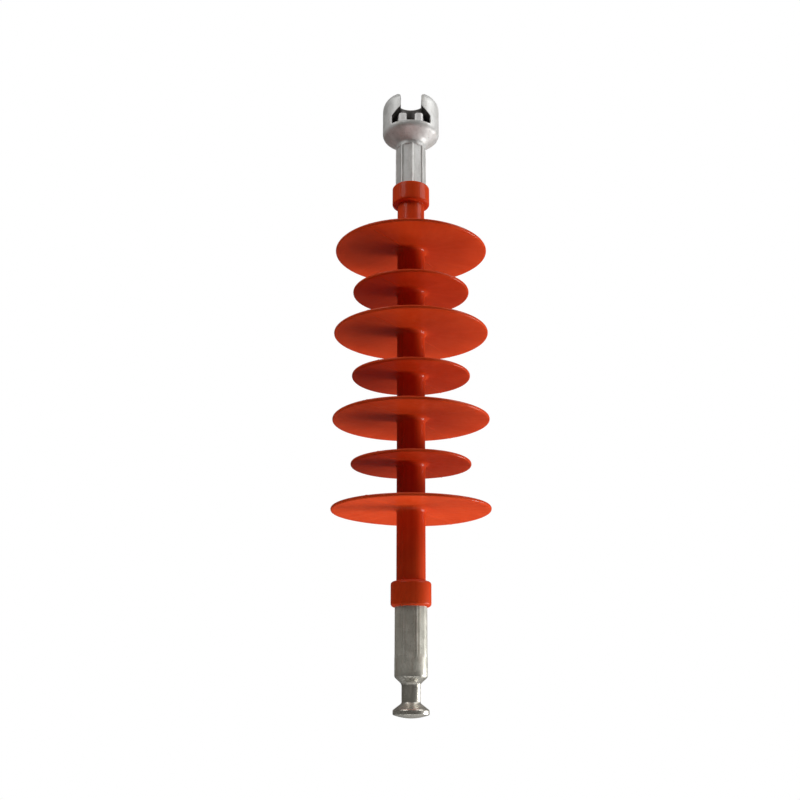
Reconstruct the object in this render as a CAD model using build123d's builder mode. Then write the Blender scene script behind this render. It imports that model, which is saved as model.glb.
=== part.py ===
from build123d import *
import math
import os

# Composite insulator, socket and ball type, hung by its socket.
# Millimetres. Z = 0 is the centre of the ball seat inside the socket, +Z points up
# out of the socket, and the ball is slid in from the -Y side.

os.makedirs("parts", exist_ok=True)

# ---- core rod and rubber housing
rod_diameter = 18.0
sheath_diameter = 27.0
large_shed_diameter = 150.0
small_shed_diameter = 114.0
shed_count = 7                  # large and small in turn, large at both ends
shed_spacing = 43.5
first_shed_drop = 151.0         # seat centre down to the middle of the first rim
rim_thickness = 3.2
shed_top_slope = 8.0            # degrees
shed_under_slope = 3.0          # degrees
root_radius_top = 4.0
root_radius_under = 5.0
collar_diameter = 37.3
collar_lap = 13.0               # length of collar moulded over each sleeve
upper_collar_top = -79.5
upper_collar_height = 20.0
lower_collar_bottom = -501.0
lower_collar_height = 23.0
upper_collar_round = 2.0
lower_collar_round = 3.0

# ---- socket fitting
head_diameter = 58.0
head_top = 21.0
head_edge_round = 12.0
head_skirt_bottom = -23.0       # lower end of the straight outside wall
bowl_bottom = -35.0             # where the bowl runs into the neck ring
neck_ring_radius = 16.4
neck_ring_height = 2.2
neck_ring_slope = 1.5           # height over which the ring runs down to the sleeve
upper_sleeve_diameter = 29.4
solid_under_cavity = 24.0       # metal between the cavity floor and the rod bore
cavity_diameter = 37.4
cavity_floor = -16.5
seat_top = 7.0                  # the seat narrows to the throat here
throat_width = 20.4
shoulder_bottom = -6.0          # the entry narrows from here
shoulder_top = 2.5              # up to here
window_corner_round = 1.0

# ---- ball fitting
lower_sleeve_diameter = 30.0
sleeve_bottom = -565.0
sleeve_edge_round = 3.5
pin_diameter = 16.6
pin_top = -570.0
pin_fillet = 5.0
ball_diameter = 32.8
ball_cone_top = -585.0
ball_rim_top = -591.0
ball_band_height = 4.0
ball_dome_rise = 3.0
cone_root_round = 2.0           # where the pin runs into the cone
rim_round = 1.5
band_round = 1.2
lower_rod_depth = 56.5          # depth of the rod bore in the ball fitting

# ---- crimping of both sleeves
crimp_jaws = 8
crimp_depth = 0.6               # how far each flat lies inside the round sleeve
crimp_gap_at_head = 5.0         # round length left under the neck ring
crimp_lap = 4.0                 # how far the flats run on inside each collar
lower_crimp_bottom = -545.0
upper_crimp_turn = 7.0          # degrees
lower_crimp_turn = 19.0         # degrees

# ---- locking clip
strip_thickness = 1.8
strip_height = 9.2
clip_floor_clearance = 0.3
clip_window_clearance = 0.6
clip_travel = 14.0              # pulled back this far to let a ball in or out
clip_front = 24.5               # front loops, this far towards the entry
clip_back = 25.0                # back loop, this far the other way
loop_outer = 12.0               # outer leg of each front loop, off the centre line
loop_inner = 6.0                # inner leg of each front loop
back_leg = 4.0                  # where the inner legs reach the back loop
tip_side = 15.2                 # free ends, off the centre line
tip_front = 9.0                 # free ends, this far towards the entry
front_bend = 2.9
back_bend = 3.5

# ---- sizes that follow
rod_radius = rod_diameter / 2
sheath_radius = sheath_diameter / 2
collar_radius = collar_diameter / 2
head_radius = head_diameter / 2
cavity_radius = cavity_diameter / 2
throat_radius = throat_width / 2
upper_sleeve_radius = upper_sleeve_diameter / 2
lower_sleeve_radius = lower_sleeve_diameter / 2
pin_radius = pin_diameter / 2
ball_radius = ball_diameter / 2

upper_sleeve_end = upper_collar_top - collar_lap
lower_sleeve_end = lower_collar_bottom + collar_lap
upper_bore_end = cavity_floor - solid_under_cavity
rod_end_gap = 1.0
rod_top = upper_bore_end - rod_end_gap
lower_bore_end = lower_sleeve_end - lower_rod_depth
rod_bottom = lower_bore_end + rod_end_gap

clip_bottom = cavity_floor + clip_floor_clearance
clip_top = clip_bottom + strip_height
window_top = clip_top + clip_window_clearance
# the legs spread towards the entry, so the widest part to reach the back window
# is the part that stands at the cavity wall when the clip is pulled right back
leg_slant = (loop_inner - back_leg) / (clip_front + clip_back)
leg_at_window = loop_inner - leg_slant * (cavity_radius - clip_travel + clip_front)
window_half_width = leg_at_window + strip_thickness / 2 + clip_window_clearance


# ---- core rod: the glass fibre rod that carries the pull
with BuildPart() as core_rod:
    with BuildSketch(Plane.XY.offset(rod_bottom)):
        Circle(rod_radius)
    extrude(amount=rod_top - rod_bottom)
core_rod.part.label = "core_rod"


# ---- socket fitting: forged cap with a side entry for a ball, crimped on the rod
with BuildPart() as socket_fitting:
    # outside: head, bowl, neck ring and sleeve
    with BuildSketch(Plane.XZ) as cap_profile:
        with BuildLine():
            ring_bottom = bowl_bottom - neck_ring_height
            Polyline(
                (neck_ring_radius, bowl_bottom),
                (neck_ring_radius, ring_bottom),
                (upper_sleeve_radius, ring_bottom - neck_ring_slope),
                (upper_sleeve_radius, upper_sleeve_end),
                (0, upper_sleeve_end),
                (0, head_top),
                (head_radius, head_top),
                (head_radius, head_skirt_bottom),
            )
            ThreePointArc(
                (head_radius, head_skirt_bottom),
                (head_radius - 4.6, (head_skirt_bottom + bowl_bottom) / 2 - 1.6),
                (neck_ring_radius, bowl_bottom),
            )
        make_face()
        top_corner = cap_profile.vertices().group_by(Axis.Y)[-1].sort_by(Axis.X)[-1]
        fillet(top_corner, head_edge_round)
    revolve(axis=Axis.Z)

    # cavity: round chamber, conical seat and throat
    with BuildSketch(Plane.XZ):
        with BuildLine():
            Polyline(
                (0, cavity_floor),
                (cavity_radius, cavity_floor),
                (cavity_radius, 0),
                (throat_radius, seat_top),
                (throat_radius, head_top + 1),
                (0, head_top + 1),
                close=True,
            )
        make_face()
    revolve(axis=Axis.Z, mode=Mode.SUBTRACT)

    # entry: wide below for the ball, narrow above for its pin
    with BuildSketch(Plane.XZ) as entry_profile:
        with BuildLine():
            entry_side = Polyline(
                (0, cavity_floor),
                (cavity_radius, cavity_floor),
                (cavity_radius, shoulder_bottom),
                (throat_radius, shoulder_top),
                (throat_radius, head_top + 1),
                (0, head_top + 1),
            )
            mirror(entry_side, about=Plane.YZ)
        make_face()
    extrude(amount=head_radius + 1, mode=Mode.SUBTRACT)

    # back window that the clip slides through
    window_height = window_top - cavity_floor
    with BuildSketch(Plane.XZ) as window_profile:
        with Locations((0, cavity_floor + window_height / 2)):
            Rectangle(2 * window_half_width, window_height)
        fillet(window_profile.vertices().group_by(Axis.Y)[-1], window_corner_round)
    extrude(amount=-(head_radius + 1), mode=Mode.SUBTRACT)

    # bore for the rod
    with BuildSketch(Plane.XY.offset(upper_sleeve_end)):
        Circle(rod_radius)
    extrude(amount=upper_bore_end - upper_sleeve_end, mode=Mode.SUBTRACT)

    # crimped flats
    upper_crimp_top = bowl_bottom - neck_ring_height - crimp_gap_at_head
    upper_crimp_bottom = upper_collar_top - crimp_lap
    with BuildSketch(Plane.XY.offset(upper_crimp_bottom)):
        Circle(upper_sleeve_radius + 3)
        RegularPolygon(
            upper_sleeve_radius - crimp_depth,
            crimp_jaws,
            major_radius=False,
            rotation=upper_crimp_turn,
            mode=Mode.SUBTRACT,
        )
    extrude(amount=upper_crimp_top - upper_crimp_bottom, mode=Mode.SUBTRACT)
socket_fitting.part.label = "socket_fitting"


# ---- ball fitting: crimped sleeve, pin and ball at the lower end
with BuildPart() as ball_fitting:
    with BuildSketch(Plane.XZ) as ball_profile:
        with BuildLine():
            band_bottom = ball_rim_top - ball_band_height
            ball_bottom = band_bottom - ball_dome_rise
            Polyline(
                (0, ball_bottom),
                (0, lower_sleeve_end),
                (lower_sleeve_radius, lower_sleeve_end),
                (lower_sleeve_radius, sleeve_bottom),
                (pin_radius, pin_top),
                (pin_radius, ball_cone_top),
                (ball_radius, ball_rim_top),
                (ball_radius, band_bottom),
            )
            dome_radius = (ball_radius**2 + ball_dome_rise**2) / (2 * ball_dome_rise)
            dome_centre = ball_bottom + dome_radius
            half_way = ball_radius / 2
            dome_drop = math.sqrt(dome_radius**2 - half_way**2)
            ThreePointArc(
                (ball_radius, band_bottom),
                (half_way, dome_centre - dome_drop),
                (0, ball_bottom),
            )
        make_face()
        corners = ball_profile.vertices()
        sleeve_corner = corners.sort_by_distance((lower_sleeve_radius, sleeve_bottom))[0]
        fillet(sleeve_corner, sleeve_edge_round)
        pin_corner = ball_profile.vertices().sort_by_distance((pin_radius, pin_top))[0]
        fillet(pin_corner, pin_fillet)
        cone_corner = ball_profile.vertices().sort_by_distance((pin_radius, ball_cone_top))[0]
        fillet(cone_corner, cone_root_round)
        rim_corner = ball_profile.vertices().sort_by_distance((ball_radius, ball_rim_top))[0]
        fillet(rim_corner, rim_round)
        band_corner = ball_profile.vertices().sort_by_distance((ball_radius, band_bottom))[0]
        fillet(band_corner, band_round)
    revolve(axis=Axis.Z)

    # bore for the rod
    with BuildSketch(Plane.XY.offset(lower_sleeve_end)):
        Circle(rod_radius)
    extrude(amount=-lower_rod_depth, mode=Mode.SUBTRACT)

    # crimped flats
    lower_crimp_top = lower_collar_bottom + crimp_lap
    with BuildSketch(Plane.XY.offset(lower_crimp_bottom)):
        Circle(lower_sleeve_radius + 3)
        RegularPolygon(
            lower_sleeve_radius - crimp_depth,
            crimp_jaws,
            major_radius=False,
            rotation=lower_crimp_turn,
            mode=Mode.SUBTRACT,
        )
    extrude(amount=lower_crimp_top - lower_crimp_bottom, mode=Mode.SUBTRACT)
ball_fitting.part.label = "ball_fitting"


# ---- housing: sheath, sheds and both collars in one moulding round the rod
def shed_corners(shed_radius, rim_height):
    # both faces rise towards the rod, the upper one more steeply
    run = shed_radius - rod_radius
    top_rise = run * math.tan(math.radians(shed_top_slope))
    under_rise = run * math.tan(math.radians(shed_under_slope))
    return [
        (rod_radius, rim_height - rim_thickness / 2 + under_rise),
        (shed_radius, rim_height - rim_thickness / 2),
        (shed_radius, rim_height + rim_thickness / 2),
        (rod_radius, rim_height + rim_thickness / 2 + top_rise),
    ]


with BuildPart() as housing:
    with BuildSketch(Plane.XZ) as housing_profile:
        # sheath
        with BuildLine():
            Polyline(
                (rod_radius, lower_collar_bottom),
                (sheath_radius, lower_collar_bottom),
                (sheath_radius, upper_collar_top),
                (rod_radius, upper_collar_top),
                close=True,
            )
        make_face()
        # sheds
        for shed in range(shed_count):
            is_large = shed % 2 == 0
            shed_radius = (large_shed_diameter if is_large else small_shed_diameter) / 2
            rim_height = -first_shed_drop - shed * shed_spacing
            with BuildLine():
                Polyline(*shed_corners(shed_radius, rim_height), close=True)
            make_face()
        # collars
        for bottom, height in (
            (upper_collar_top - upper_collar_height, upper_collar_height),
            (lower_collar_bottom, lower_collar_height),
        ):
            with BuildLine():
                Polyline(
                    (rod_radius, bottom),
                    (collar_radius, bottom),
                    (collar_radius, bottom + height),
                    (rod_radius, bottom + height),
                    close=True,
                )
            make_face()
        # round the rims almost to a full half round
        rims = housing_profile.vertices().filter_by(
            lambda v: v.X > small_shed_diameter / 2 - 0.1
        )
        fillet(rims, rim_thickness * 0.46)
        # round the roots of the sheds, upper and under side
        sheds_top = -first_shed_drop + 20
        sheds_bottom = -first_shed_drop - (shed_count - 1) * shed_spacing - 10
        roots = housing_profile.vertices().filter_by(
            lambda v: abs(v.X - sheath_radius) < 0.01 and sheds_bottom < v.Y < sheds_top
        )
        roots = roots.sort_by(Axis.Y)
        under_roots = roots[0::2]
        upper_roots = roots[1::2]
        fillet(under_roots, root_radius_under)
        fillet(upper_roots, root_radius_top)
        # round the collars
        collar_edges = housing_profile.vertices().filter_by(
            lambda v: abs(v.X - collar_radius) < 0.01
        )
        fillet(collar_edges.filter_by(lambda v: v.Y > sheds_top), upper_collar_round)
        fillet(collar_edges.filter_by(lambda v: v.Y < sheds_bottom), lower_collar_round)
    revolve(axis=Axis.Z)
    # the rubber is moulded on to the crimped sleeves
    add(socket_fitting.part, mode=Mode.SUBTRACT)
    add(ball_fitting.part, mode=Mode.SUBTRACT)
housing.part.label = "housing"


# ---- locking clip: W-shaped strip that keeps the ball from sliding out
with BuildPart() as locking_clip:
    with BuildSketch(Plane.XY.offset(clip_bottom)):
        with BuildLine() as strip_line:
            left_loop = FilletPolyline(
                (-tip_side, -tip_front),
                (-loop_outer, -clip_front),
                (-loop_inner, -clip_front),
                (-back_leg, clip_back - back_bend),
                radius=front_bend,
            )
            right_loop = FilletPolyline(
                (tip_side, -tip_front),
                (loop_outer, -clip_front),
                (loop_inner, -clip_front),
                (back_leg, clip_back - back_bend),
                radius=front_bend,
            )
            FilletPolyline(
                (-back_leg, clip_back - back_bend),
                (-back_leg, clip_back),
                (back_leg, clip_back),
                (back_leg, clip_back - back_bend),
                radius=back_bend - 0.1,
            )
        trace(line_width=strip_thickness)
    extrude(amount=strip_height)
locking_clip.part.label = "locking_clip"


export_step(core_rod.part, "parts/core_rod.step")
export_step(socket_fitting.part, "parts/socket_fitting.step")
export_step(ball_fitting.part, "parts/ball_fitting.step")
export_step(housing.part, "parts/housing.step")
export_step(locking_clip.part, "parts/locking_clip.step")
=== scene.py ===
import math
import bmesh
import bpy
import numpy as np
from mathutils import Matrix, Vector


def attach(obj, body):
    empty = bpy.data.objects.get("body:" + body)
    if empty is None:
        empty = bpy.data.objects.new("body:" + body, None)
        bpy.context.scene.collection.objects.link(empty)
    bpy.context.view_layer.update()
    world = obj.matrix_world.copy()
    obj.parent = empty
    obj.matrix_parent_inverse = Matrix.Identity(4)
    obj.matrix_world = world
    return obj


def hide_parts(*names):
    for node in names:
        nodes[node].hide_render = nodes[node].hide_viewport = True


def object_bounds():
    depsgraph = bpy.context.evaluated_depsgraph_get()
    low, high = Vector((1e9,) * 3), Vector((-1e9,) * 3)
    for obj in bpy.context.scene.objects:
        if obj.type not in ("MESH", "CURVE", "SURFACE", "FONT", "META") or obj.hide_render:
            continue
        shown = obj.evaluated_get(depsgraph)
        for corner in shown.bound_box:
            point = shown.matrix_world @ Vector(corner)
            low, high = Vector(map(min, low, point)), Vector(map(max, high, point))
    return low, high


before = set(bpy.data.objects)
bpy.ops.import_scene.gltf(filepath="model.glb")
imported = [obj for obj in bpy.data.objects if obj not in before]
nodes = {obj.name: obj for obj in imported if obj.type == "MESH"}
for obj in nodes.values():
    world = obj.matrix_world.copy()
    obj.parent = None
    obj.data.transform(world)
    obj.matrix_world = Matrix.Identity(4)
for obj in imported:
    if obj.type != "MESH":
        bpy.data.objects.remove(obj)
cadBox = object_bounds()
print("frame loaded", sorted(nodes))


def setSocket(tree, socket, value):
    # a value is a constant or another node's output
    if isinstance(value, bpy.types.NodeSocket):
        tree.links.new(value, socket)
    else:
        socket.default_value = value


def addNode(tree, kind, settings=None, **values):
    # a node with its settings and its inputs, named, or i0, i1 and so on by number
    node = tree.nodes.new("ShaderNode" + kind)
    for key, value in (settings or {}).items():
        setattr(node, key, value)
    for key, value in values.items():
        numbered = key[0] == "i" and key[1:].isdigit()
        setSocket(tree, node.inputs[int(key[1:]) if numbered else key], value)
    return node


def maths(tree, operation, *values):
    node = tree.nodes.new("ShaderNodeMath")
    node.operation = operation
    for socket, value in zip(node.inputs, values):
        setSocket(tree, socket, value)
    return node.outputs[0]


def product(tree, first, *others):
    for value in others:
        first = maths(tree, "MULTIPLY", first, value)
    return first


def noise(tree, vector, scale, detail=3.0, roughness=0.5):
    return addNode(tree, "TexNoise", Vector=vector, Scale=scale, Detail=detail,
                   Roughness=roughness).outputs["Fac"]


def remap(tree, value, low, high, toLow=0.0, toHigh=1.0, smooth=False):
    node = tree.nodes.new("ShaderNodeMapRange")
    node.interpolation_type = "SMOOTHSTEP" if smooth else "LINEAR"
    tree.links.new(value, node.inputs["Value"])
    for key, number in (("From Min", low), ("From Max", high),
                        ("To Min", toLow), ("To Max", toHigh)):
        node.inputs[key].default_value = number
    return node.outputs["Result"]


def mixColour(tree, factor, first, second):
    node = tree.nodes.new("ShaderNodeMix")
    node.data_type = "RGBA"
    for index, value in ((0, factor), (6, first), (7, second)):     # the colour sockets of a Mix
        setSocket(tree, node.inputs[index], value)
    return node.outputs[2]


def newMaterial(name):
    material = bpy.data.materials.new(name)
    material.use_nodes = True
    tree = material.node_tree
    tree.nodes.clear()
    output = tree.nodes.new("ShaderNodeOutputMaterial")
    shader = tree.nodes.new("ShaderNodeBsdfPrincipled")
    tree.links.new(shader.outputs[0], output.inputs["Surface"])
    place = tree.nodes.new("ShaderNodeTexCoord").outputs["Object"]
    return material, tree, shader, place


siliconeLook = {
    "colour": (0.63, 0.058, 0.011, 1), "deep": (0.54, 0.042, 0.006, 1),
    "pale": (0.67, 0.074, 0.018, 1), "flow": 0.35,      # pale flow marks
    "roughness": 0.44, "specular": 0.03, "coat": 0.16, "coatRoughness": 0.16,
    "dust": (0.55, 0.42, 0.34, 1), "dustAmount": 0.14, "dustScale": 38.0,
    "skinBump": 0.06,
}


def makeSilicone(look):
    material, tree, shader, place = newMaterial("siliconeRubber")
    cloud = noise(tree, place, 28.0, 5.0, 0.55)
    tone = mixColour(tree, remap(tree, cloud, 0.3, 0.7), look["deep"], look["colour"])
    # faint flow marks that run out from the rod, as the rubber filled the mould: noise on
    # coordinates (angle, distance from the axis, height), the angle stretched least
    flat = addNode(tree, "SeparateXYZ", i0=place).outputs
    angle = maths(tree, "ARCTAN2", flat[1], flat[0])
    reach = maths(tree, "SQRT", maths(tree, "ADD", product(tree, flat[0], flat[0]),
                                      product(tree, flat[1], flat[1])))
    spread = addNode(tree, "CombineXYZ", i0=product(tree, angle, 3.0),
                     i1=product(tree, reach, 14.0), i2=product(tree, flat[2], 3.0)).outputs[0]
    flow = remap(tree, noise(tree, spread, 2.2, 2.0, 0.5), 0.42, 0.75, smooth=True)
    tone = mixColour(tree, product(tree, flow, look["flow"]), tone, look["pale"])
    # a little dust lies on faces that look up
    normal = addNode(tree, "NewGeometry").outputs["Normal"]
    facing = remap(tree, addNode(tree, "SeparateXYZ", i0=normal).outputs[2], 0.1, 0.95, smooth=True)
    patchy = remap(tree, noise(tree, place, look["dustScale"], 5.0, 0.6), 0.2, 0.85, smooth=True)
    dusty = product(tree, facing, patchy, look["dustAmount"])
    tree.links.new(mixColour(tree, dusty, tone, look["dust"]), shader.inputs["Base Color"])
    uneven = remap(tree, noise(tree, place, 160.0, 4.0), 0.3, 0.7,
                   look["roughness"] - 0.05, look["roughness"] + 0.07)
    tree.links.new(maths(tree, "ADD", uneven, product(tree, dusty, 0.5)),
                   shader.inputs["Roughness"])
    for key, value in (("Specular IOR Level", look["specular"]), ("Coat Weight", look["coat"]),
                       ("Coat Roughness", look["coatRoughness"]), ("Subsurface Weight", 0.04),
                       ("Subsurface Radius", (0.004, 0.0008, 0.0004)), ("Subsurface Scale", 0.5)):
        shader.inputs[key].default_value = value
    skin = maths(tree, "ADD", noise(tree, place, 2200.0, 2.0),
                 product(tree, noise(tree, place, 120.0), 2.0))
    bump = addNode(tree, "Bump", Strength=look["skinBump"], Distance=0.0001, Height=skin)
    tree.links.new(bump.outputs[0], shader.inputs["Normal"])
    return material


def makeZincGroup():
    # hot-dip zinc: flat crystals of different greys, clouding, dull specks and a fine grain
    tree = bpy.data.node_groups.new("zincCoat", "ShaderNodeTree")
    for label, kind, default in (
            ("Vector", "Vector", None), ("Light", "Color", (0.6, 0.6, 0.6, 1)),
            ("Dark", "Color", (0.3, 0.3, 0.3, 1)), ("Stain", "Color", (0.2, 0.15, 0.1, 1)),
            ("Stain Amount", "Float", 0.3), ("Crystal Scale", "Float", 160.0)):
        item = tree.interface.new_socket(name=label, in_out="INPUT",
                                         socket_type="NodeSocket" + kind)
        if default is not None:
            item.default_value = default
    for label, kind in (("Colour", "Color"), ("Roughness", "Float"), ("Height", "Float")):
        tree.interface.new_socket(name=label, in_out="OUTPUT", socket_type="NodeSocket" + kind)
    given = tree.nodes.new("NodeGroupInput").outputs
    result = tree.nodes.new("NodeGroupOutput").inputs
    vector = given["Vector"]
    # crystals: Voronoi cells whose borders wander a little
    bent = addNode(tree, "TexNoise", Vector=vector, Scale=300.0, Detail=2.0).outputs["Color"]
    offset = addNode(tree, "VectorMath", {"operation": "SCALE"}, i0=bent, Scale=0.004).outputs[0]
    shifted = addNode(tree, "VectorMath", {"operation": "ADD"}, i0=vector, i1=offset).outputs[0]
    crystal = addNode(tree, "TexVoronoi", {"feature": "F1"}, Vector=shifted,
                      Scale=given["Crystal Scale"]).outputs["Color"]
    grey = addNode(tree, "SeparateColor", Color=crystal).outputs[0]
    cloud = noise(tree, vector, 45.0, 6.0, 0.6)
    blend = maths(tree, "ADD", product(tree, grey, 0.18), product(tree, cloud, 0.95))
    base = mixColour(tree, remap(tree, blend, 0.3, 0.95), given["Dark"], given["Light"])
    # stains run down, specks are small and dark
    stretched = addNode(tree, "Mapping", Vector=vector, Scale=(1, 1, 0.25)).outputs[0]
    runs = remap(tree, noise(tree, stretched, 90.0, 5.0, 0.65), 0.48, 0.72, smooth=True)
    stain = product(tree, runs, given["Stain Amount"])
    speck = remap(tree, noise(tree, vector, 700.0, 2.0, 0.5), 0.66, 0.74)
    soiled = mixColour(tree, stain, base, given["Stain"])
    tree.links.new(mixColour(tree, product(tree, speck, 0.5), soiled, (0.05, 0.045, 0.04, 1)),
                   result["Colour"])
    plain = remap(tree, grey, 0, 1, 0.34, 0.42)
    tree.links.new(maths(tree, "ADD", plain, product(tree, stain, 0.35)), result["Roughness"])
    lumps = maths(tree, "ADD", noise(tree, vector, 130.0, 4.0, 0.55),
                  product(tree, noise(tree, vector, 1500.0, 3.0, 0.6), 0.35))
    tree.links.new(maths(tree, "SUBTRACT", lumps, product(tree, speck, 0.3)), result["Height"])
    return tree


zincGroup = makeZincGroup()
# where the eight jaws of the crimping tool have pressed each sleeve
crimp = {
    "jaws": 8, "ribWidth": 0.0008,
    "cap": {"turn": 7.0, "top": -0.0345, "bottom": -0.095,      # turn in degrees
            "depth": 0.0008, "fade": 0.0016, "rib": 0.0009},
    "ball": {"turn": 19.0, "top": -0.49, "bottom": -0.5465,
             "depth": 0.0003, "fade": 0.004, "rib": 0.0003},
}
crimpPitch = 2 * math.pi / crimp["jaws"]
capLook = {
    "light": (0.82, 0.82, 0.80, 1), "dark": (0.50, 0.50, 0.485, 1),
    "stain": (0.36, 0.33, 0.28, 1), "stainAmount": 0.50,
    "metallic": 0.2, "rougher": 0.08, "lump": 0.45, "edge": 0.0006,
    # painted light on the crimp: shadow along the ribs' feet, highlight on their crests, darker
    # flats
    "ribs": {"paintedShade": 0.50, "bright": 0.9, "dull": 0.32},
    # painted shade: the chamber's inside and the shoulders over the entry are painted near black
    "chamber": {"radius": 0.0202, "top": 0.0180, "floor": -0.0165, "fade": 0.004,
                "amount": 0.96, "colour": (0.035, 0.03, 0.027, 1)},
}
ballLook = {
    "light": (0.74, 0.72, 0.64, 1), "dark": (0.44, 0.435, 0.37, 1),
    "stain": (0.30, 0.24, 0.18, 1), "stainAmount": 0.75,
    "metallic": 0.38, "rougher": 0.0, "lump": 0.2, "edge": 0.0004,
    # painted shadow and highlight along the ball sleeve's crimp ribs, weaker than on the cap
    "ribs": {"paintedShade": 0.14, "bright": 0.12, "dull": 0.0},
    "worn": {"below": -0.558, "fade": 0.006, "colour": (0.64, 0.61, 0.55, 1), "amount": 0.6,
             "metallic": 0.75, "smoother": 0.10},
}


def paintChamberShade(tree, place, tone, paintedShade):
    # painted shade: near-black colour is painted on what is near the axis, between floor and top,
    # and on the shoulders that look down over the entry, all of which lie in shade
    where = addNode(tree, "SeparateXYZ", i0=place).outputs
    square = maths(tree, "ADD", product(tree, where[0], where[0]),
                   product(tree, where[1], where[1]))
    near = remap(tree, maths(tree, "SQRT", square), paintedShade["radius"], paintedShade["radius"] + paintedShade["fade"],
                 1, 0, smooth=True)
    below = remap(tree, where[2], paintedShade["top"], paintedShade["top"] + paintedShade["fade"], 1, 0, smooth=True)
    above = remap(tree, where[2], paintedShade["floor"] - 0.0006, paintedShade["floor"])
    normal = addNode(tree, "NewGeometry").outputs["Normal"]
    facing = addNode(tree, "SeparateXYZ", i0=normal).outputs[2]
    lookingDown = remap(tree, facing, -0.45, -0.1, 1, 0, smooth=True)
    mask = product(tree, maths(tree, "MAXIMUM", product(tree, near, below), lookingDown), above)
    return mixColour(tree, product(tree, mask, paintedShade["amount"]), tone, paintedShade["colour"])


def paintCrimpShading(tree, place, tone, zone, ribs):
    # painted light and shade along the crimp: the pressed flats are painted darker, the ribs
    # between them get a painted highlight on their crests and painted shadow along their feet; all
    # are masks of the angle to the nearest ridge, |angle modulo pitch - pitch / 2|, in radians
    where = addNode(tree, "SeparateXYZ", i0=place).outputs
    angle = maths(tree, "ARCTAN2", where[1], where[0])
    turned = maths(tree, "SUBTRACT", angle,
                   math.radians(zone["turn"]) - crimpPitch / 2 - 2 * math.pi)
    inPitch = maths(tree, "MODULO", turned, crimpPitch)
    away = maths(tree, "ABSOLUTE", maths(tree, "SUBTRACT", inPitch, crimpPitch / 2))
    wander = product(tree, maths(tree, "SUBTRACT", noise(tree, place, 160.0), 0.5), 0.05)
    away = maths(tree, "ADD", away, wander)
    pressed = product(tree, remap(tree, where[2], zone["top"] - 0.001, zone["top"], 1, 0),
                      remap(tree, where[2], zone["bottom"], zone["bottom"] + 0.001))
    foot = product(tree, remap(tree, away, 0.035, 0.05, smooth=True),
                   remap(tree, away, 0.06, 0.19, 1, 0, smooth=True))
    crest = remap(tree, away, 0.025, 0.055, 1, 0, smooth=True)
    patch = remap(tree, noise(tree, place, 60.0), 0.3, 0.6, 0.45, 1.0)
    # darker flats, painted shadow at the ribs' feet, painted highlight on their crests
    for mask, colour in (
            (product(tree, pressed, ribs["dull"]), (0.33, 0.33, 0.32, 1)),
            (product(tree, foot, pressed, patch, ribs["paintedShade"]), (0.16, 0.145, 0.125, 1)),
            (product(tree, crest, pressed, ribs["bright"]), (0.95, 0.94, 0.92, 1))):
        tone = mixColour(tree, mask, tone, colour)
    return tone


def makeZinc(name, look, zone):
    material, tree, shader, place = newMaterial(name)
    coat = addNode(tree, "Group", {"node_tree": zincGroup}, Vector=place, Light=look["light"],
                   Dark=look["dark"], Stain=look["stain"])
    coat.inputs["Stain Amount"].default_value = look["stainAmount"]
    tone = coat.outputs["Colour"]
    # painted shade inside the chamber and under the shoulders
    if "chamber" in look:
        tone = paintChamberShade(tree, place, tone, look["chamber"])
    # painted highlight and shadow along the crimp's ribs
    tone = paintCrimpShading(tree, place, tone, zone, look["ribs"])
    rough = maths(tree, "ADD", coat.outputs["Roughness"], look["rougher"])
    metallic = look["metallic"]
    if "worn" in look:
        # handling has rubbed the end below this height smoother and more metallic
        worn = look["worn"]
        height = addNode(tree, "SeparateXYZ", i0=place).outputs[2]
        ragged = maths(tree, "ADD", height, product(tree, noise(tree, place, 150.0), worn["fade"]))
        rubbed = remap(tree, ragged, worn["below"] - worn["fade"], worn["below"] + worn["fade"],
                       1, 0, smooth=True)
        tone = mixColour(tree, product(tree, rubbed, worn["amount"]), tone, worn["colour"])
        rough = maths(tree, "SUBTRACT", rough, product(tree, rubbed, worn["smoother"]))
        metallic = remap(tree, rubbed, 0, 1, metallic, worn["metallic"])
    tree.links.new(tone, shader.inputs["Base Color"])
    tree.links.new(rough, shader.inputs["Roughness"])
    setSocket(tree, shader.inputs["Metallic"], metallic)
    soft = addNode(tree, "Bevel", {"samples": 6}, Radius=look["edge"])
    bump = addNode(tree, "Bump", Strength=look["lump"], Distance=0.0005,
                   Height=coat.outputs["Height"], Normal=soft.outputs[0])
    tree.links.new(bump.outputs[0], shader.inputs["Normal"])
    return material


stainlessLook = {
    "dark": (0.92, 0.91, 0.90, 1), "light": (0.98, 0.97, 0.96, 1),
    "smudge": (0.30, 0.27, 0.23, 1), "smudgeAmount": 0.25, "edge": 0.0004,
}


def makeStainless(look):
    # a strip drawn bright, with fine lines along it and a few smudges
    material, tree, shader, place = newMaterial("stainlessStrip")
    along = addNode(tree, "Mapping", Vector=place, Scale=(1, 1, 14)).outputs[0]
    lines = noise(tree, along, 260.0, 4.0, 0.6)
    tone = mixColour(tree, lines, look["dark"], look["light"])
    smudge = remap(tree, noise(tree, place, 120.0, 4.0), 0.45, 0.7, smooth=True)
    tone = mixColour(tree, product(tree, smudge, look["smudgeAmount"]), tone, look["smudge"])
    tree.links.new(tone, shader.inputs["Base Color"])
    tree.links.new(remap(tree, lines, 0.2, 0.8, 0.34, 0.48), shader.inputs["Roughness"])
    soft = addNode(tree, "Bevel", {"samples": 6}, Radius=look["edge"])
    bump = addNode(tree, "Bump", Strength=0.12, Distance=0.0002, Height=lines,
                   Normal=soft.outputs[0])
    tree.links.new(bump.outputs[0], shader.inputs["Normal"])
    return material


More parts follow.
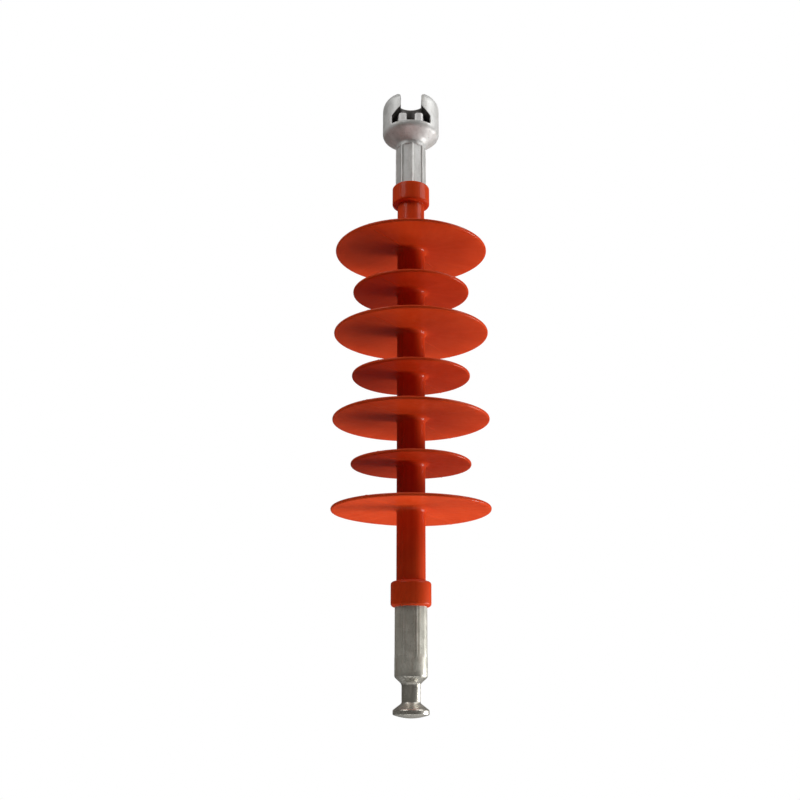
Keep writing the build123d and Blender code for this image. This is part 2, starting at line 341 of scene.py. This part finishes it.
def makeFibreglass():
    # resin-bonded glass: pale straw with fine fibres along the rod
    material, tree, shader, place = newMaterial("glassFibreRod")
    along = addNode(tree, "Mapping", Vector=place, Scale=(1, 1, 0.02)).outputs[0]
    fibres = noise(tree, along, 1800.0, 3.0, 0.6)
    tree.links.new(mixColour(tree, fibres, (0.52, 0.47, 0.28, 1), (0.80, 0.77, 0.58, 1)),
                   shader.inputs["Base Color"])
    tree.links.new(remap(tree, fibres, 0.2, 0.8, 0.30, 0.48), shader.inputs["Roughness"])
    bump = addNode(tree, "Bump", Strength=0.15, Distance=0.0002, Height=fibres)
    tree.links.new(bump.outputs[0], shader.inputs["Normal"])
    return material


finishes = {
    "core_rod": makeFibreglass(), "housing": makeSilicone(siliconeLook),
    "socket_fitting": makeZinc("capZinc", capLook, crimp["cap"]),
    "ball_fitting": makeZinc("ballZinc", ballLook, crimp["ball"]),
    "locking_clip": makeStainless(stainlessLook),
}
for nodeName, material in finishes.items():
    slots = nodes[nodeName].material_slots
    for slot in slots:
        slot.link = "OBJECT"
        slot.material = material
    if not len(slots):
        nodes[nodeName].data.materials.append(material)
print("materials made")


def cornerArc(before, corner, after, radius, steps=7):
    # points of the arc of that radius that rounds a corner: its tangent points lie
    # radius / tan(half the corner's angle) away from the corner along both sides
    corner = np.array(corner, float)
    first = np.array(before, float) - corner
    second = np.array(after, float) - corner
    first, second = first / np.hypot(*first), second / np.hypot(*second)
    half = np.arccos(np.clip(np.dot(first, second), -1, 1)) / 2
    middle = (first + second) / np.hypot(*(first + second))
    centre = corner + middle * radius / np.sin(half)
    start = corner + first * radius / np.tan(half) - centre
    end = corner + second * radius / np.tan(half) - centre
    turn = np.arctan2(start[0] * end[1] - start[1] * end[0], np.dot(start, end))
    angles = np.linspace(0, turn, steps)
    return centre + np.stack([start[0] * np.cos(angles) - start[1] * np.sin(angles),
                              start[0] * np.sin(angles) + start[1] * np.cos(angles)], 1)


def roundedOutline(corners, step):
    # (point, rounding) pairs as one line of points: arcs at the rounded corners, and
    # straight stretches divided so that no division is much longer than step
    points = [np.array([corners[0][0]])]
    for before, (corner, rounding), after in zip(corners, corners[1:], corners[2:]):
        if rounding:
            points.append(cornerArc(before[0], corner, after[0], rounding))
        else:
            points.append(np.array([corner]))
    outline = np.concatenate(points + [np.array([corners[-1][0]])])
    lengths = np.hypot(*np.diff(outline, axis=0).T)
    stretches = [np.linspace(start, end, max(2, int(length / step) + 1))[:-1]
                 for start, end, length in zip(outline, outline[1:], lengths)]
    return np.concatenate(stretches + [outline[-1:]])


def meshObject(name, points, faces):
    mesh = bpy.data.meshes.new(name)
    mesh.from_pydata(points.tolist(), [], faces)
    mesh.update()
    piece = bpy.data.objects.new(name, mesh)
    bpy.context.scene.collection.objects.link(piece)
    return piece


def turnOutward(piece):
    # normals of a closed solid all point out of it
    work = bmesh.new()
    work.from_mesh(piece.data)
    bmesh.ops.recalc_face_normals(work, faces=work.faces)
    work.to_mesh(piece.data)
    work.free()


def shadeSmooth(piece):
    piece.data.polygons.foreach_set("use_smooth", np.ones(len(piece.data.polygons), bool))


def surfaceObject(name, grid):
    # a grid of points, rows along the profile and columns around, as a mesh of quads
    rows, columns = grid.shape[:2]
    index = np.arange(rows * columns).reshape(rows, columns)
    after = np.roll(index, -1, axis=1)
    quads = np.stack([index[:-1], index[1:], after[1:], after[:-1]], -1).reshape(-1, 4)
    piece = meshObject(name, grid.reshape(-1, 3), quads.tolist())
    shadeSmooth(piece)
    turnOutward(piece)
    return piece


def setFinish(piece, nodeName):
    piece.data.materials.clear()
    piece.data.materials.append(finishes[nodeName])


# metres and degrees, in the part's frame
housingSize = {
    "top": -0.0795, "bottom": -0.501,
    "sheathRadius": 0.0135, "collarRadius": 0.01865, "endLip": 0.001,
    "upperCollarHeight": 0.020, "lowerCollarHeight": 0.023, "collarRoot": 0.0008,
    "upperCollarRound": 0.002, "lowerCollarRound": 0.003,
    "largeShed": 0.075, "smallShed": 0.057, "sheds": 7,
    "firstRim": -0.151, "spacing": 0.0435, "rimThickness": 0.0032, "rimRound": 0.92,
    "topSlope": 8.0, "underSlope": 3.0,
    "rootTop": 0.004, "rootUnder": 0.005,
    "partingTurn": 57.0,                    # from +X, where the mould's halves met
    "partingHeight": 0.00032, "partingWidth": 0.0005, "partingEnd": 0.985,
    "rimWave": 0.00035,                     # soft rims are never quite flat
    "around": 216, "crowding": 0.66, "step": 0.004,
}


def housingOutline(size):
    # the outside from the top end down: collar, then each shed's upper face, rim and
    # under face, then the lower collar
    sheath, collar = size["sheathRadius"], size["collarRadius"]
    high = size["top"] - size["upperCollarHeight"]
    low = size["bottom"] + size["lowerCollarHeight"]
    topSlope, underSlope = (math.tan(math.radians(size[key])) for key in ("topSlope", "underSlope"))
    half = size["rimThickness"] / 2
    corners = [((sheath - size["endLip"], size["top"]), 0),
               ((collar, size["top"]), size["upperCollarRound"]),
               ((collar, high), size["upperCollarRound"]), ((sheath, high), size["collarRoot"])]
    for shed in range(size["sheds"]):
        reach = size["smallShed"] if shed % 2 else size["largeShed"]
        rim = size["firstRim"] - shed * size["spacing"]
        corners += [((sheath, rim + half + topSlope * (reach - sheath)), size["rootTop"]),
                    ((reach, rim + half), half * size["rimRound"]),
                    ((reach, rim - half), half * size["rimRound"]),
                    ((sheath, rim - half + underSlope * (reach - sheath)), size["rootUnder"])]
    corners += [((sheath, low), size["collarRoot"]), ((collar, low), size["lowerCollarRound"]),
                ((collar, size["bottom"]), size["lowerCollarRound"]),
                ((sheath - size["endLip"], size["bottom"]), 0)]
    return roundedOutline(corners, size["step"])


def makeHousing(size):
    # radius r(s) and height z(s) follow the outline; around it, angle a gives
    # x = (r + seam) cos a, y = (r + seam) sin a, z = z(s) + wave, where
    # seam = partingHeight * exp(-(d / partingWidth)^2), d the distance to the mould's
    # parting plane, and wave = rimWave * (part of the way to the rim)^2 * slow sines of a
    outline = housingOutline(size)
    turn = np.radians(size["partingTurn"])
    # columns crowd round the parting plane, so that the narrow seam has points of its own
    even = np.linspace(0, 2 * np.pi, size["around"], endpoint=False)
    angle = (turn + even - size["crowding"] * np.sin(2 * even) / 2)[None, :]
    radius, height = outline[:, :1], outline[:, 1:]
    slope = np.gradient(outline, axis=0)
    normal = np.stack([-slope[:, 1], slope[:, 0]], 1) / np.hypot(*slope.T)[:, None]
    overhang = size["largeShed"] - size["sheathRadius"]
    outer = np.clip((radius - size["sheathRadius"]) / overhang, 0, 1)
    distance = radius * np.abs(np.sin(angle - turn))
    seam = size["partingHeight"] * np.exp(-(distance / size["partingWidth"]) ** 2)
    seam = seam * (outer < size["partingEnd"])
    shed = np.round((height - size["firstRim"]) / size["spacing"])
    wave = size["rimWave"] * outer ** 2 * (np.sin(2 * angle + 1.7 * shed)
                                           + 0.6 * np.sin(3 * angle + 2.9 * shed))
    wide = radius + seam * normal[:, :1]
    piece = surfaceObject("housing_moulding", np.stack([
        wide * np.cos(angle), wide * np.sin(angle), height + seam * normal[:, 1:] + wave], -1))
    setFinish(piece, "housing")
    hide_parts("housing")
    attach(piece, "insulator")
    return piece


housing = makeHousing(housingSize)
print("housing made", len(housing.data.polygons), "faces")

capSize = {
    "radius": 0.029, "top": 0.021, "edgeRound": 0.0125,
    "skirtBottom": -0.0215, "skirtRound": 0.0065,
    "bowlBottom": -0.0285, "bowlRoot": 0.002, "neckRing": 0.0164, "neckRingHeight": 0.0015,
    "ringRound": 0.0006, "ringFoot": 0.0012, "cutRound": 0.001, "flareRound": 0.003,
    "bodyBottom": -0.036, "sleeveRadius": 0.0147, "sleeveStart": -0.030, "sleeveEnd": -0.088,
    "endRound": 0.0005,
    "rodRadius": 0.0095,
    "cavityRadius": 0.0187, "floor": -0.0165, "seatTop": 0.007, "throat": 0.0104, "flare": 0.0052,
    "entryHalf": 0.0195, "shoulderBottom": -0.0085, "shoulderTop": -0.0002, "shoulderRound": 0.003,
    "lipBottom": 0.0142, "lipRound": 0.005, "lipFlare": 0.0058,
    "windowHalf": 0.00632, "windowTop": -0.0064,
    "over": 0.002, "outside": 0.04,         # how far the cutters reach past the body
    "voxel": 0.0005, "smoothing": 22, "step": 0.002, "sleeveStep": 0.0007,
}
ballSize = {
    "sleeveRadius": 0.015, "start": -0.4975, "sleeveBottom": -0.5628, "sleeveRound": 0.0036,
    "pinRadius": 0.0085, "pinTop": -0.5685, "pinFillet": 0.005,
    "coneTop": -0.585, "coneRound": 0.002,
    "ballRadius": 0.0164, "rimTop": -0.591, "rimRound": 0.0014,
    "bandBottom": -0.595, "bandRound": 0.0013, "bottom": -0.598,
    "endRound": 0.0005, "rodRadius": 0.0095, "step": 0.0007,
}


def revolvedSolid(name, outline, columns=128):
    # x = r(s) cos a, y = r(s) sin a, z = z(s), with one point at each end of the axis
    angle = np.linspace(0, 2 * np.pi, columns, endpoint=False)[None, :]
    ring = outline[1:-1]
    grid = np.stack([ring[:, :1] * np.cos(angle), ring[:, :1] * np.sin(angle),
                     ring[:, 1:] + 0 * angle], -1).reshape(-1, 3)
    ends = np.array([[0, 0, outline[0, 1]], [0, 0, outline[-1, 1]]])
    index = np.arange(len(ring) * columns).reshape(len(ring), columns)
    after = np.roll(index, -1, axis=1)
    quads = np.stack([index[:-1], after[:-1], after[1:], index[1:]], -1).reshape(-1, 4).tolist()
    first, last = len(grid), len(grid) + 1
    fans = np.stack([np.full(columns, first), after[0], index[0]], -1).tolist()
    fans += np.stack([np.full(columns, last), index[-1], after[-1]], -1).tolist()
    return meshObject(name, np.concatenate([grid, ends]), quads + fans)


def prismSolid(name, outline, nearY, farY):
    # an outline in x and z carried straight along y
    count = len(outline)
    points = np.concatenate([np.stack([outline[:, 0], np.full(count, place), outline[:, 1]], -1)
                             for place in (nearY, farY)])
    index = np.arange(count)
    after = np.roll(index, -1)
    sides = np.stack([index, after, after + count, index + count], -1).tolist()
    return meshObject(name, points, sides + [index[::-1].tolist(), (index + count).tolist()])


def applyModifiers(piece):
    depsgraph = bpy.context.evaluated_depsgraph_get()
    mesh = bpy.data.meshes.new_from_object(piece.evaluated_get(depsgraph))
    piece.modifiers.clear()
    piece.data = mesh


def makeCapHead(size):
    # the forging: body turned about the axis, chamber, entry and window cut away, then
    # every edge softened as on a forged and dipped part
    top, throat, floor = size["top"], size["throat"], size["floor"]
    over = top + size["over"]
    ring = size["bowlBottom"] - size["neckRingHeight"]
    body = revolvedSolid("cap_head", roundedOutline([
        ((0, top), 0), ((size["radius"], top), size["edgeRound"]),
        ((size["radius"], size["skirtBottom"]), size["skirtRound"]),
        ((size["neckRing"] + size["neckRingHeight"], size["bowlBottom"]), size["bowlRoot"]),
        ((size["neckRing"], ring), size["ringRound"]),
        ((size["sleeveRadius"], ring - size["ringFoot"]), size["cutRound"]),
        ((size["sleeveRadius"], size["bodyBottom"]), 0),
        ((0, size["bodyBottom"]), 0)], size["step"]))
    chamber = revolvedSolid("chamber", roundedOutline([
        ((0, floor), 0), ((size["cavityRadius"], floor), size["cutRound"]),
        ((size["cavityRadius"], 0), size["cutRound"]),
        ((throat, size["seatTop"]), size["cutRound"]),
        ((throat, top - size["flare"]), size["flareRound"]),
        ((throat + size["flare"] * 0.9, top - 0.0002), 0),
        ((throat + size["flare"] * 1.4, over), 0), ((0, over), 0)], size["step"]))
    right = roundedOutline([
        ((size["entryHalf"], floor), 0),
        ((size["entryHalf"], size["shoulderBottom"]), size["shoulderRound"]),
        ((throat, size["shoulderTop"]), size["shoulderRound"]),
        ((throat, size["lipBottom"]), size["lipRound"]),
        ((throat + size["lipFlare"], top + 0.0004), 0),
        ((throat + size["lipFlare"] + 0.0012, over), 0)], size["step"])
    bothSides = np.concatenate([right, right[::-1] * (-1, 1)])
    entry = prismSolid("entry", bothSides, -size["outside"], 0.0)
    half, high = size["windowHalf"], size["windowTop"]
    opening = np.array([(half, floor), (half, high), (-half, high), (-half, floor)])
    window = prismSolid("window", opening, 0.0, size["outside"])
    for solid in (body, chamber, entry, window):
        turnOutward(solid)
    for cutter in (chamber, entry, window):
        cut = body.modifiers.new(cutter.name, "BOOLEAN")
        cut.operation, cut.solver, cut.object = "DIFFERENCE", "EXACT", cutter
        applyModifiers(body)
        bpy.data.objects.remove(cutter)
    remesh = body.modifiers.new("even", "REMESH")
    remesh.mode, remesh.voxel_size, remesh.adaptivity = "VOXEL", size["voxel"], 0
    remesh.use_smooth_shade = True
    soften = body.modifiers.new("soften", "SMOOTH")
    soften.factor, soften.iterations = 0.5, size["smoothing"]
    applyModifiers(body)
    shadeSmooth(body)
    setFinish(body, "socket_fitting")
    return body


def crimpedRadius(radius, angle, height, zone):
    # inside the crimped zone the radius is that of the flats, which grows as
    # 1 / cos(angle from the flat's middle) but no more than the round sleeve's, plus a rib
    # where the jaws met: rib * exp(-(arc from the ridge / ribWidth)^2); the zone fades in
    # over "fade" at both ends
    off = np.mod(angle - np.radians(zone["turn"]) + crimpPitch / 2, crimpPitch) - crimpPitch / 2
    flat = (radius - zone["depth"]) / np.cos(crimpPitch / 2 - np.abs(off))
    rib = zone["rib"] * np.exp(-(off * radius / crimp["ribWidth"]) ** 2)
    inZone = (np.clip((zone["top"] - height) / zone["fade"], 0, 1)
              * np.clip((height - zone["bottom"]) / zone["fade"], 0, 1))
    inZone = inZone * inZone * (3 - 2 * inZone)
    return radius + (np.minimum(radius, flat) + rib - radius) * inZone


def crimpedSurface(name, outline, sleeveRadius, zone, around=240):
    # x = r cos a, y = r sin a, z = z(s), where r is the outline's radius, crimped on the sleeve
    angle = np.linspace(0, 2 * np.pi, around, endpoint=False)[None, :]
    radius, height = outline[:, :1] + 0 * angle, outline[:, 1:] + 0 * angle
    onSleeve = np.abs(radius - sleeveRadius) < 1e-6
    radius = np.where(onSleeve, crimpedRadius(sleeveRadius, angle, height, zone), radius)
    grid = np.stack([radius * np.cos(angle), radius * np.sin(angle), height], -1)
    return surfaceObject(name, grid)


def makeCapSleeve(size):
    # the crimped tube below the head, down to its end on the rod
    outline = roundedOutline([
        ((size["sleeveRadius"], size["sleeveStart"]), 0),
        ((size["sleeveRadius"], size["sleeveEnd"]), size["endRound"]),
        ((size["rodRadius"], size["sleeveEnd"]), 0)], size["sleeveStep"])
    piece = crimpedSurface("cap_sleeve", outline, size["sleeveRadius"], crimp["cap"])
    setFinish(piece, "socket_fitting")
    return piece


def makeBallEnd(size):
    # sleeve, pin and coned ball, closed below by a dome: depth grows with (r / ballRadius)^2
    dome = np.linspace(size["ballRadius"] * 0.9, 0.0, 10)
    rise = (size["bandBottom"] - size["bottom"]) * (dome / size["ballRadius"]) ** 2
    outline = np.concatenate([roundedOutline([
        ((size["rodRadius"], size["start"]), 0),
        ((size["sleeveRadius"], size["start"]), size["endRound"]),
        ((size["sleeveRadius"], size["sleeveBottom"]), size["sleeveRound"]),
        ((size["pinRadius"], size["pinTop"]), size["pinFillet"]),
        ((size["pinRadius"], size["coneTop"]), size["coneRound"]),
        ((size["ballRadius"], size["rimTop"]), size["rimRound"]),
        ((size["ballRadius"], size["bandBottom"]), size["bandRound"]),
        ((size["ballRadius"] * 0.92, size["bandBottom"] - 0.0005), 0)], size["step"]),
        np.stack([dome, size["bottom"] + rise], 1)])
    piece = crimpedSurface("ball_forging", outline, size["sleeveRadius"], crimp["ball"])
    setFinish(piece, "ball_fitting")
    return piece


head = makeCapHead(capSize)
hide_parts("socket_fitting")
print("head made", len(head.data.polygons), "faces")
capSleeve = makeCapSleeve(capSize)
ballEnd = makeBallEnd(ballSize)
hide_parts("ball_fitting")
for piece, name in ((head, "galvanised_cap"), (capSleeve, "galvanised_cap"),
                    (ballEnd, "galvanised_ball")):
    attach(piece, "insulator")
print("fittings made")

clipSize = {
    "thickness": 0.0018, "height": 0.0092, "bottom": -0.0162, "edge": 0.0005,
    "frontBend": 0.0017, "backBend": 0.0034,
    "aside": -0.0003,                       # a springy strip never sits quite in the middle
    "path": ((0.0134, -0.009), (0.0109, -0.0245), (0.0052, -0.0245), (0.0034, 0.025)),
    "step": 0.0012, "sectionStep": 0.0015,
}


def makeClip(size):
    # the strip's section, a rectangle with rounded edges, carried along the bent line
    half = [(np.array(point, float), size["frontBend"]) for point in size["path"]]
    half[-1] = (half[-1][0], size["backBend"])
    mirrored = [(point * (-1, 1), bend) for point, bend in half[::-1]]
    line = roundedOutline(half + mirrored, size["step"])
    forward = np.gradient(line, axis=0)
    side = np.stack([forward[:, 1], -forward[:, 0]], 1) / np.hypot(*forward.T)[:, None]
    thick, height, edge = size["thickness"] / 2, size["height"], size["edge"]
    section = roundedOutline([
        ((thick, height / 2), 0), ((thick, height), edge), ((-thick, height), edge),
        ((-thick, 0), edge), ((thick, 0), edge),
        ((thick, height / 2), 0)], size["sectionStep"])[:-1]
    # both ends are closed by rings drawn in to the strip's middle
    shrink = np.concatenate([[0.02, 0.7], np.ones(len(line)), [0.7, 0.02]])[:, None]
    line, side = (np.concatenate([rows[:1], rows[:1], rows, rows[-1:], rows[-1:]])
                  for rows in (line, side))
    across = section[:, 0] * shrink
    up = (section[:, 1] - height / 2) * shrink + height / 2
    piece = surfaceObject("clip_strip", np.stack([
        line[:, :1] + side[:, :1] * across + size["aside"], line[:, 1:] + side[:, 1:] * across,
        size["bottom"] + up], -1))
    setFinish(piece, "locking_clip")
    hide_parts("locking_clip")
    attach(piece, "clip")


makeClip(clipSize)
print("clip made")

stage = {"halfWidth": 6.0, "below": 0.72, "paint": 0.5}
lights = {
    # name: (place, aimed at, width, height, watts, mirrored in glossy surfaces)
    "key": ((1.10, 0.32, -0.79), (0, 0, -0.30), 0.5, 0.5, 14.5, True),
    "under": ((0.0, 0.60, -1.20), (0, 0, -0.40), 2.0, 1.2, 5.0, False),
    "below": ((0.0, 0.10, -1.30), (0, 0, -0.45), 0.7, 0.5, 6.0, False),
    "lowFront": ((0.0, -0.45, -1.32), (0, 0, -0.57), 1.6, 0.12, 2.6, True),
    "back": ((-0.2, 1.5, -0.6), (0, 0, -0.30), 1.8, 1.4, 3.0, False),
    "upperLeft": ((-0.85, -0.6, 0.80), (0, 0, -0.02), 0.9, 0.9, 10.5, True),
    "upperRight": ((1.15, -0.25, 0.70), (0, 0, -0.02), 0.9, 0.9, 14.0, True),
}
sky = {"colour": (0.86, 0.82, 0.76, 1), "strength": 0.09}
view = {
    "place": (-0.0105, -0.994, -0.6036), "tiltUp": 16.74, "roll": 0.15,     # degrees
    "lens": 48.64, "sensor": 36.0,
}


def makeFloor(size):
    # a plain pale plane that the camera sees as white
    material, tree, shader, _ = newMaterial("floorPaint")
    shader.inputs["Base Color"].default_value = (size["paint"],) * 3 + (1,)
    shader.inputs["Roughness"].default_value = 0.9
    bright = addNode(tree, "Emission", Color=(1, 1, 1, 1), Strength=1.0)
    seen = addNode(tree, "LightPath").outputs["Is Camera Ray"]
    mix = addNode(tree, "MixShader", i0=seen, i1=shader.outputs[0], i2=bright.outputs[0])
    tree.links.new(mix.outputs[0], tree.nodes["Material Output"].inputs["Surface"])
    half, height = size["halfWidth"], cadBox[0][2] - size["below"]
    corners = np.array([(-half, -half, height), (half, -half, height),
                        (half, half, height), (-half, half, height)])
    plane = meshObject("studioFloor", corners, [(0, 1, 2, 3)])
    plane.data.materials.append(material)


def makeLights():
    for name, (place, target, width, height, watts, mirrored) in lights.items():
        lamp = bpy.data.lights.new(name, "AREA")
        lamp.shape, lamp.size, lamp.size_y, lamp.energy = "RECTANGLE", width, height, watts
        holder = bpy.data.objects.new(name, lamp)
        aim = (Vector(target) - Vector(place)).to_track_quat("-Z", "Y").to_matrix().to_4x4()
        holder.matrix_world = Matrix.Translation(place) @ aim
        holder.visible_camera, holder.visible_glossy = False, mirrored
        bpy.context.scene.collection.objects.link(holder)


def makeSky(look):
    # a faint even light, which the camera sees as white
    world = bpy.data.worlds.new("studio")
    world.use_nodes = True
    tree = world.node_tree
    tree.nodes.clear()
    plain = addNode(tree, "Background", Color=look["colour"], Strength=look["strength"])
    white = addNode(tree, "Background", Color=(1, 1, 1, 1), Strength=1.0)
    seen = addNode(tree, "LightPath").outputs["Is Camera Ray"]
    mixer = addNode(tree, "MixShader", i0=seen, i1=plain.outputs[0], i2=white.outputs[0])
    tree.links.new(mixer.outputs[0], tree.nodes.new("ShaderNodeOutputWorld").inputs[0])
    bpy.context.scene.world = world


def makeCamera(size):
    lens = bpy.data.cameras.new("camera")
    lens.lens, lens.sensor_width = size["lens"], size["sensor"]
    camera = bpy.data.objects.new("camera", lens)
    camera.matrix_world = (Matrix.Translation(size["place"])
                           @ Matrix.Rotation(math.radians(90 + size["tiltUp"]), 4, "X")
                           @ Matrix.Rotation(math.radians(size["roll"]), 4, "Z"))
    bpy.context.scene.collection.objects.link(camera)
    bpy.context.scene.camera = camera


makeFloor(stage)
makeLights()
makeSky(sky)
makeCamera(view)
bpy.context.scene.view_settings.view_transform = "Standard"
print("stage, light and camera made")

bpy.context.view_layer.update()
